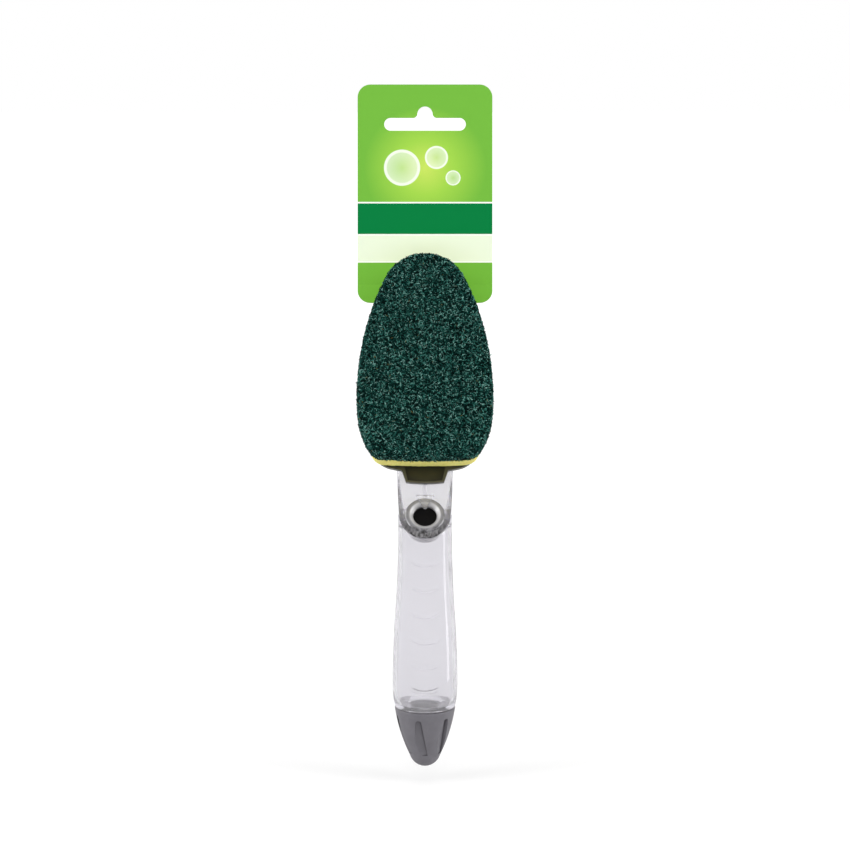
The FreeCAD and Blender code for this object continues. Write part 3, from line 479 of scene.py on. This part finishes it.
def sponge_foam():
    """Yellow cellulose foam: pale skin between pores, and painted shade that darkens the pores towards deeper
    olive.
    """
    look = Surface("sponge_foam", Roughness=0.92, Subsurface_Weight=0.12, Subsurface_Scale=FOAM_GLOW_DEPTH)
    body = look.ramp(look.grain(FOAM_MOTTLE), [(0.25, srgb(240, 231, 122)), (0.75, srgb(247, 239, 142))])
    pores = look.level(look.cells(FOAM_CELL), [(0.12, 1), (0.38, 0)])
    # Painted shade: the pores are darkened towards deeper olive
    look.colour(look.mix(look.math("MULTIPLY", pores, 0.7), body, srgb(204, 192, 84)))
    look.bump(look.cells(FOAM_CELL), 0.5, CELL_BUMP)
    look.bump(look.grain(FOAM_TOOTH), 0.25, FOAM_BUMP)
    return look.material


def scour_core():
    look = Surface("scour_core", Roughness=0.9, Specular_IOR_Level=0.02)
    # The web's own dark green, run down to near black as painted shade between the fibres
    look.colour(look.ramp(look.grain(WEB_MOTTLE, 4.0), [(0.38, srgb(0, 10, 9)), (0.66, srgb(10, 46, 42))]))
    look.bump(look.grain(WEB_TOOTH, 4.0), 0.8, WEB_BUMP)
    return look.material


def scour_fibre():
    """Green nylon fibres, each with its own shade, and a few ochre ones."""
    look = Surface("scour_fibre", Roughness=0.7, Specular_IOR_Level=0.03)
    own = look.node("NewGeometry").outputs["Random Per Island"]
    look.colour(look.ramp(own, [
        (0.0, srgb(0, 3, 3)), (0.40, srgb(0, 26, 23)), (0.64, srgb(22, 74, 67)),
        (0.86, srgb(70, 134, 122)), (0.994, srgb(142, 190, 180)), (0.996, srgb(104, 94, 52))]))
    look.bump(look.grain(FIBRE_TOOTH), 0.4, SOFT_BUMP)
    return look.material


# Glow, bands and bubbles printed on the card: heights and places from the middle of the hang slot
CARD_GLOW_DROP = -17 * MM
CARD_GLOW_REACH = 24 * MM
CARD_WHITE = srgb(246, 248, 243)
CARD_BANDS = (
    (-43.6 * MM, -43.0 * MM, CARD_WHITE),
    (-43.0 * MM, -31.0 * MM, srgb(6, 122, 62)),
    (-31.0 * MM, -30.4 * MM, CARD_WHITE),
    (-53.6 * MM, -43.6 * MM, srgb(230, 241, 219)),
    (-54.2 * MM, -53.6 * MM, CARD_WHITE),
)
CARD_BUBBLES = (
    (-9 * MM, -17 * MM, 7.2 * MM),
    (4.5 * MM, -13 * MM, 4.6 * MM),
    (11 * MM, -21 * MM, 3.0 * MM),
)


def reach_of(look, across, height, centre_x, centre_z):
    """How far a point of the card lies from a place printed on it."""
    dx = look.math("SUBTRACT", across, centre_x)
    dz = look.math("SUBTRACT", height, centre_z)
    return look.math("SQRT", look.math("ADD", look.math("MULTIPLY", dx, dx), look.math("MULTIPLY", dz, dz)))


def bubble(look, ground, across, height, centre_x, centre_z, radius):
    """A plain round bubble: a pale disc with a white rim."""
    share = look.math("DIVIDE", reach_of(look, across, height, centre_x, centre_z), radius)
    fill = look.level(share, [(0.0, 0.25), (0.80, 0.55), (0.86, 0.95), (0.97, 0.95), (1.0, 0.0)])
    return look.mix(fill, ground, srgb(240, 247, 232))


def band(look, ground, height, low, high, paint):
    """A plain band across the card, between two heights."""
    above = look.math("GREATER_THAN", height, low)
    below = look.math("LESS_THAN", height, high)
    return look.mix(look.math("MULTIPLY", above, below), ground, paint)


def printed_card():
    """Coated card: green ground, plain bands and a few round bubbles in front, bare board behind."""
    look = Surface("printed_card", Roughness=0.45, Specular_IOR_Level=0.04)
    across = look.along(SIDE, HANG_SLOT)
    height = look.along(CARD_OUT.cross(SIDE).normalized(), HANG_SLOT)
    glow = reach_of(look, across, height, 0, CARD_GLOW_DROP)
    front = look.ramp(look.math("DIVIDE", glow, CARD_GLOW_REACH), [
        (0.0, srgb(196, 222, 96)), (0.45, srgb(158, 208, 76)), (1.0, srgb(114, 181, 64))])
    for centre_x, centre_z, radius in CARD_BUBBLES:
        front = bubble(look, front, across, height, centre_x, centre_z, radius)
    for low, high, paint in CARD_BANDS:
        front = band(look, front, height, low, high, paint)
    board = look.ramp(look.grain(CARD_FLECK, 5.0), [(0.3, srgb(206, 203, 196)), (0.7, srgb(222, 220, 214))])
    facing = look.vector("DOT_PRODUCT", look.normal(), tuple(CARD_OUT)).outputs["Value"]
    look.colour(look.mix(look.math("GREATER_THAN", facing, 0.5), board, front))
    look.rough(0.36, 0.5, look.grain(CARD_GLOSS))
    look.bump(look.grain(CARD_TOOTH, 5.0, (1, 1, 0.5)), 0.06, FINE_BUMP)
    return look.material


def glue_drop():
    look = Surface("glue_drop", Base_Color=srgb(226, 224, 214), Roughness=0.25, IOR=1.45,
                   Transmission_Weight=0.5)
    look.rough(0.18, 0.34, look.grain(GLUE_GLOSS))
    look.bump(look.grain(GLUE_LUMP), 0.2, SOFT_BUMP)
    return look.material


NODE_LOOKS = {
    clear_plastic: ["handle_shell"],
    smoky_plastic: ["bezel_ring"],
    black_rubber: ["soap_button"],
    seal_rubber: ["button_seal", "poppet_seal"],
    white_plastic: ["valve_stem"],
    spring_steel: ["return_spring"],
    grey_cap_plastic: ["cap_grip"],
    grey_core_plastic: ["cap_core"],
    foam_liner: ["cap_gasket"],
    olive_plastic: ["head_base"],
    sponge_foam: ["sponge"],
    scour_core: ["scour_pad"],
    printed_card: ["hang_card"],
    glue_drop: ["glue_dots"],
}


def dress(item, material):
    item.data.materials.clear()
    item.data.materials.append(material)


def dress_nodes():
    """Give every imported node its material, and return the materials by their function."""
    made = {}
    for recipe, names in NODE_LOOKS.items():
        made[recipe] = recipe()
        for name in names:
            dress(frame["nodes"][name], made[recipe])
    return made


# Mesh helpers

def new_piece(name, points, faces, material, smooth=True):
    mesh = bpy.data.meshes.new(name)
    mesh.from_pydata([tuple(point) for point in points], [], faces)
    mesh.update()
    piece = bpy.data.objects.new(name, mesh)
    bpy.context.scene.collection.objects.link(piece)
    dress(piece, material)
    if smooth:
        mesh.polygons.foreach_set("use_smooth", [True] * len(mesh.polygons))
    return piece


def unit_rows(vectors):
    return vectors / np.linalg.norm(vectors, axis=1)[:, None]


def round_outline(coords, step):
    """The node's convex outline across the head, as evenly spaced points."""
    flat = [Vector(point[:2]) for point in coords]
    loop = np.array([flat[index] for index in geometry.convex_hull_2d(flat)])
    ends = np.roll(loop, -1, axis=0)
    lengths = np.linalg.norm(ends - loop, axis=1)
    reach = np.concatenate([[0], np.cumsum(lengths)])
    count = int(round(reach[-1] / step))
    wanted = np.arange(count) * reach[-1] / count
    closed = np.vstack([loop, loop[:1]])
    even = np.column_stack([np.interp(wanted, reach, closed[:, axis]) for axis in range(2)])
    for _ in range(OUTLINE_PASSES):
        even = (np.roll(even, 1, axis=0) + 2 * even + np.roll(even, -1, axis=0)) / 4
    return even


def outline_normals(outline):
    way = np.roll(outline, -1, axis=0) - np.roll(outline, 1, axis=0)
    normal = unit_rows(np.column_stack([way[:, 1], -way[:, 0]]))
    inward = (normal * (outline - outline.mean(axis=0))).sum() < 0
    return -normal if inward else normal


def slab_rows(outline, profile, step):
    """Rings from the back's middle to the front's: a profile of (inset, out), closed by two flat caps."""
    normals = outline_normals(outline)
    middle = outline.mean(axis=0)
    side = [np.column_stack([outline - normals * inset, np.full(len(outline), out)])
            for inset, out in profile]
    rings = int(np.linalg.norm(outline - middle, axis=1).max() / step)

    def cap(edge):
        shares = np.linspace(0, 1, rings + 1)[1:-1]
        return [np.column_stack([middle + (edge[:, :2] - middle) * share, edge[:, 2]]) for share in shares]

    return cap(side[0]) + side + cap(side[-1])[::-1]


def tube_faces(rows, count):
    """Quads between rings of points, each ring joined to the next."""
    faces = []
    for row in range(rows - 1):
        for index in range(count):
            after = (index + 1) % count
            faces.append((row * count + index, row * count + after,
                          (row + 1) * count + after, (row + 1) * count + index))
    return faces


def slab_faces(rows, count):
    """Quads between the rings, and a fan to the pole at each end."""
    faces = tube_faces(rows, count)
    back = rows * count
    front = back + 1
    last = (rows - 1) * count
    for index in range(count):
        after = (index + 1) % count
        faces.append((back, after, index))
        faces.append((front, last + index, last + after))
    return faces


def slab_piece(name, outline, profile, step, material):
    rows = slab_rows(outline, profile, step)
    middle = outline.mean(axis=0)
    poles = [[*middle, profile[0][1]], [*middle, profile[-1][1]]]
    points = head_points(np.vstack(rows + [poles]))
    piece = new_piece(name, points, slab_faces(len(rows), len(outline)), material)
    back_face = piece.data.polygons[0]
    if back_face.normal.dot(PAD_FACE - back_face.center) > 0:
        piece.data.flip_normals()
    return piece


def rounded_profile(back, front, back_round, front_round, steps, rows):
    """Insets and heights up a side with rounded back and front edges."""
    def quarter(radius, edge, sign):
        turns = [math.pi / 2 * index / steps for index in range(steps + 1)]
        return [(radius * (1 - math.sin(turn)), edge + sign * radius * (1 - math.cos(turn)))
                for turn in turns]

    low = quarter(back_round, back, 1)
    high = quarter(front_round, front, -1)[::-1]
    start, end = low[-1][1], high[0][1]
    middle = [(0, start + (end - start) * index / rows) for index in range(1, rows)]
    return low + middle + high


def displace(piece, shift):
    """Move each point along its normal by shift(point)."""
    moves = [vertex.normal * shift(vertex.co) for vertex in piece.data.vertices]
    for vertex, move in zip(piece.data.vertices, moves):
        vertex.co += move
    piece.data.update()


# Soft pieces of the head

def build_sponge(material):
    coords = head_coords("sponge")
    back, front = coords[:, 2].min(), coords[:, 2].max()
    outline = round_outline(coords, SPONGE_STEP)
    rows = int((front - back) / SPONGE_STEP)
    profile = rounded_profile(back, front, SPONGE_BACK_ROUND, SPONGE_FRONT_ROUND, SPONGE_ROUND_STEPS, rows)
    piece = slab_piece("sponge_foam", outline, profile, SPONGE_CAP_STEP, material)

    def pore(point):
        near = noise.voronoi(point / PORE_SIZE)[0][0]
        lumps = noise.noise(point / LUMP_SIZE)
        return -PORE_DEPTH * max(0.0, 1 - near / PORE_REACH_SHARE) + SPONGE_LUMP_DEPTH * lumps

    displace(piece, pore)
    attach(piece, "head")
    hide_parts("sponge")


def build_scour_core(material):
    coords = head_coords("scour_pad")
    back, front = coords[:, 2].min(), coords[:, 2].max()
    outline = round_outline(coords, PAD_STEP)
    rows = int((front - back) / PAD_STEP)
    profile = rounded_profile(back, front - PAD_SINK, PAD_SINK, PAD_ROUND, PAD_ROUND_STEPS, rows)
    piece = slab_piece("scour_web", outline, profile, PAD_STEP, material)

    def clump(point):
        return CLUMP_DEPTH * noise.fractal(point / CLUMP_SIZE, CLUMP_FALLOFF, CLUMP_STEP_UP, CLUMP_LAYERS)

    displace(piece, clump)
    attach(piece, "head")
    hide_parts("scour_pad")
    return piece


def surface_samples(piece, count, draw):
    """Random points on a piece's front and sides, with their normals."""
    mesh = piece.data
    mesh.calc_loop_triangles()
    triangles = np.array([triangle.vertices for triangle in mesh.loop_triangles])
    points = np.array([vertex.co for vertex in mesh.vertices])
    normals = np.array([vertex.normal for vertex in mesh.vertices])
    corners = points[triangles]
    cross = np.cross(corners[:, 1] - corners[:, 0], corners[:, 2] - corners[:, 0])
    area = np.linalg.norm(cross, axis=1)
    faces_out = normals[triangles].mean(axis=1) @ np.array(HEAD_OUT) > FIBRE_FACE_LIMIT
    weight = area * faces_out
    chosen = draw.choice(len(triangles), size=count, p=weight / weight.sum())
    first = np.sqrt(draw.random(count))
    second = draw.random(count)
    shares = np.column_stack([1 - first, first * (1 - second), first * second])[:, :, None]
    normal = unit_rows((normals[triangles[chosen]] * shares).sum(axis=1))
    return (corners[chosen] * shares).sum(axis=1), normal


def build_fibres(core, material):
    """Short stiff fibres that lie over the pad every which way, each a thin closed sliver."""
    draw = np.random.default_rng(FIBRE_SEED)
    root, normal = surface_samples(core, FIBRE_COUNT, draw)
    helper = np.where(np.abs(normal[:, :1]) < FIBRE_STEEP_SHARE, [[1.0, 0, 0]], [[0, 0, 1.0]])
    first = unit_rows(np.cross(normal, helper))
    second = np.cross(normal, first)
    each = (FIBRE_COUNT, 1)
    turn = draw.uniform(0, 2 * math.pi, each)
    ahead = first * np.cos(turn) + second * np.sin(turn)
    length = FIBRE_LENGTH * draw.uniform(*FIBRE_LENGTH_SHARES, each)
    lift = FIBRE_LIFT * draw.uniform(*FIBRE_LIFT_SHARES, each)
    tilt = FIBRE_LIFT * draw.normal(0, FIBRE_TILT_SHARE, each)
    radius = FIBRE_RADIUS * draw.uniform(*FIBRE_RADIUS_SHARES, each)

    slant = ahead * length + normal * 2 * tilt
    way = unit_rows(slant)
    across = unit_rows(np.cross(way, normal))
    upward = np.cross(across, way)
    middle = root + normal * lift
    tail, tip = middle - slant / 2, middle + slant / 2
    corners = [tail - across * radius, tail + across * radius, tip - upward * radius, tip + upward * radius]
    points = np.stack(corners, axis=1).reshape(-1, 3)

    sliver = np.array([(0, 1, 2), (1, 0, 3), (0, 2, 3), (2, 1, 3)])
    faces = (sliver[None] + np.arange(FIBRE_COUNT)[:, None, None] * len(corners)).reshape(-1, 3)
    piece = new_piece("scour_fibres", points, faces.tolist(), material, smooth=False)
    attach(piece, "head")


# Valve spring

def build_spring(material):
    """The wire coil between the button's flange and the chamber's floor."""
    points = node_points("return_spring")
    across = np.array(SIDE)
    inward = np.array(VALVE_IN)
    third = np.cross(inward, across)
    middle = points.mean(axis=0)
    depth = (points - middle) @ inward
    reach = np.hypot((points - middle) @ across, (points - middle) @ third)
    wire = SPRING_WIRE / 2
    radius = reach.max() - wire
    low, high = depth.min() + wire, depth.max() - wire
    steps = int(SPRING_TURNS * SPRING_TURN_STEPS)
    rings = []
    for index in range(steps + 1):
        turn = 2 * math.pi * SPRING_TURNS * index / steps
        outward = across * math.cos(turn) + third * math.sin(turn)
        centre = middle + outward * radius + inward * (high + (low - high) * index / steps)
        for side in range(SPRING_SIDES):
            angle = 2 * math.pi * side / SPRING_SIDES
            rings.append(centre + wire * (outward * math.cos(angle) + inward * math.sin(angle)))
    faces = tube_faces(steps + 1, SPRING_SIDES)
    faces.append(tuple(range(SPRING_SIDES)))
    faces.append(tuple(steps * SPRING_SIDES + side for side in reversed(range(SPRING_SIDES))))
    piece = new_piece("spring_coil", rings, faces, material)
    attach(piece, "handle")
    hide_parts("return_spring")
    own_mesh(piece)


# Stage, light and camera

def shown_rays(nodes, links, bent_share=1.0):
    """One for rays from the camera, and a share of it for those mirrored or through clear plastic."""
    path = nodes.new("ShaderNodeLightPath")
    total = path.outputs["Is Camera Ray"]
    for name in ("Is Glossy Ray", "Is Transmission Ray"):
        bent = nodes.new("ShaderNodeMath")
        bent.operation = "MULTIPLY"
        links.new(path.outputs[name], bent.inputs[0])
        bent.inputs[1].default_value = bent_share
        most = nodes.new("ShaderNodeMath")
        most.operation = "MAXIMUM"
        links.new(total, most.inputs[0])
        links.new(bent.outputs["Value"], most.inputs[1])
        total = most.outputs["Value"]
    return total


def build_floor():
    low = CAD_BOX[0][2] - FLOOR_DROP
    corners = [(x * FLOOR_REACH, y * FLOOR_REACH, low) for x, y in ((-1, -1), (1, -1), (1, 1), (-1, 1))]
    look = Surface("studio_floor", Base_Color=shade(FLOOR_SHARE), Roughness=1.0, Specular_IOR_Level=0.0,
                   Emission_Color=shade(1))
    reach = look.node("VectorMath", {"operation": "LENGTH"}, i0=look.place()).outputs["Value"]
    glow = look.span(reach, *FLOOR_GLOW, last=FLOOR_GLOW_REACH)
    seen = look.math("MULTIPLY", glow, shown_rays(look.nodes, look.links, FLOOR_SEEN_SHARE))
    look.feed(look.shader.inputs["Emission Strength"], seen)
    floor = new_piece("studio_floor", corners, [(0, 1, 2, 3)], look.material, smooth=False)


def build_world():
    world = bpy.data.worlds.new("studio_world")
    bpy.context.scene.world = world
    world.use_nodes = True
    nodes, links = world.node_tree.nodes, world.node_tree.links
    background = nodes["Background"]
    background.inputs["Color"].default_value = shade(1)
    level = nodes.new("ShaderNodeMapRange")
    level.inputs["To Min"].default_value = WORLD_LIGHT
    level.inputs["To Max"].default_value = WORLD_SHOWN
    links.new(shown_rays(nodes, links), level.inputs["Value"])
    links.new(level.outputs["Result"], background.inputs["Strength"])


def add_softbox(name, place, size, power, lights_matt=True, shows_in_gloss=True):
    """A soft rectangular lamp that looks at the wand, and lights matt faces, gloss or both."""
    light = bpy.data.lights.new(name, "AREA")
    light.shape = "RECTANGLE"
    light.size, light.size_y = size
    light.energy = power
    item = bpy.data.objects.new(name, light)
    bpy.context.scene.collection.objects.link(item)
    item.visible_camera = False
    item.visible_transmission = False
    item.visible_diffuse = lights_matt
    item.visible_glossy = shows_in_gloss
    item.location = Vector(place)
    item.rotation_euler = (CAMERA_TARGET - item.location).to_track_quat("-Z", "Y").to_euler()


def build_lights():
    for lamp in LAMPS:
        add_softbox(**lamp)


def build_camera():
    data = bpy.data.cameras.new("photo_camera")
    data.lens = CAMERA_LENS
    camera = bpy.data.objects.new("photo_camera", data)
    bpy.context.scene.collection.objects.link(camera)
    away = Vector((0, -math.cos(CAMERA_ELEVATION), math.sin(CAMERA_ELEVATION)))
    camera.location = CAMERA_TARGET + away * CAMERA_DISTANCE
    camera.rotation_euler = (-away).to_track_quat("-Z", "Y").to_euler()
    bpy.context.scene.camera = camera


bpy.context.scene.view_settings.view_transform = "Standard"
looks = dress_nodes()
build_sponge(looks[sponge_foam])
build_fibres(build_scour_core(looks[scour_core]), scour_fibre())
build_spring(looks[spring_steel])
build_floor()
build_world()
build_lights()
build_camera()
